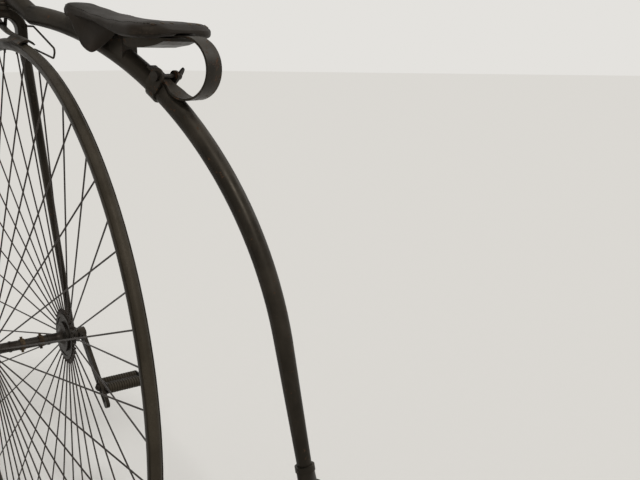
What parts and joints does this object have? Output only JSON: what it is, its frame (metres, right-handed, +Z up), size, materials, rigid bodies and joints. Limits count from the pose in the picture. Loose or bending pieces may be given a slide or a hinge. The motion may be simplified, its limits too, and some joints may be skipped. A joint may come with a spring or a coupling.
{
  "type": "high wheel bicycle",
  "caption": "High-wheel bicycle with one large steered wire-spoked wheel driven by cranks on its hub, a small trailing wheel, a curved tubular backbone and a sprung leather saddle.",
  "frame": {"origin": "the rider's place, on top of the saddle's middle", "axes": "+X forward, +Y to the rider's left, +Z up"},
  "size_m": [1.6578, 0.6248, 1.512],
  "materials": {
    "black_enamel": "worn satin black enamel",
    "bare_steel": "dull dark steel",
    "spring_steel": "worn black on sprung steel",
    "spoke_wire": "thin dark wire with brown rust",
    "stud_brass": "tarnished",
    "tyre_rubber": "matt aged solid rubber",
    "pedal_rubber": "matt",
    "saddle_hide": "old near-black hide, slightly polished by use",
    "grip_wood": "dark stained turned wood"
  },
  "bodies": {
    "frame": {"backbone": "black_enamel", "head_socket": "black_enamel", "rear_crown": "black_enamel", "rear_blade_left": "black_enamel", "rear_blade_right": "black_enamel", "rear_axle": "bare_steel", "step_peg": "black_enamel", "saddle_leather": "saddle_hide", "saddle_spring": "spring_steel", "spring_seat": "spring_steel", "spring_pad": "spring_steel", "spring_clamp": "spring_steel", "wing_nut": "bare_steel"},
    "steering": {"fork_crown": "black_enamel", "fork_leg_left": "black_enamel", "fork_leg_right": "black_enamel", "fork_bearing_left": "bare_steel", "fork_bearing_right": "bare_steel", "bar_lug": "black_enamel", "handlebar": "black_enamel", "grip_left": "grip_wood", "grip_right": "grip_wood", "wire_loop": "spring_steel", "brake_spoon": "spring_steel", "brake_lever": "spring_steel", "brake_rod": "bare_steel"},
    "front_wheel": {"front_tyre": "tyre_rubber", "front_rim": "black_enamel", "front_spokes": "spoke_wire", "front_hub": "bare_steel", "hub_collars": "stud_brass", "front_axle": "bare_steel", "crank_left": "black_enamel", "crank_right": "black_enamel", "pedal_pin_left": "bare_steel", "pedal_pin_right": "bare_steel"},
    "pedal_left": {"pedal_frame_left": "bare_steel", "pedal_rubbers_left": "pedal_rubber"},
    "pedal_right": {"pedal_frame_right": "bare_steel", "pedal_rubbers_right": "pedal_rubber"},
    "rear_wheel": {"rear_tyre": "tyre_rubber", "rear_rim": "black_enamel", "rear_spokes": "spoke_wire", "rear_hub": "bare_steel"}
  },
  "joints": [
    {"name": "steering_turn", "type": "hinge", "parent": "frame", "child": "steering", "pos_m": [0.33, 0, -0.69556], "axis": [0, 0, 1], "range_deg": [-29, 71]},
    {"name": "front_wheel_spin", "type": "hinge", "parent": "steering", "child": "front_wheel", "pos_m": [0.33, 0, -0.69556], "axis": [0.3584, 0.9336, 0], "continuous": true},
    {"name": "pedal_left_spin", "type": "hinge", "parent": "front_wheel", "child": "pedal_left", "pos_m": [0.42308, -0.03573, -0.59586], "axis": [0.3584, 0.9336, 0], "continuous": true},
    {"name": "pedal_right_spin", "type": "hinge", "parent": "front_wheel", "child": "pedal_right", "pos_m": [0.23692, 0.03573, -0.79527], "axis": [0.3584, 0.9336, 0], "continuous": true},
    {"name": "rear_wheel_spin", "type": "hinge", "parent": "frame", "child": "rear_wheel", "pos_m": [-0.482, 0, -1.12656], "axis": [0, 1, 0], "continuous": true}
  ]
}
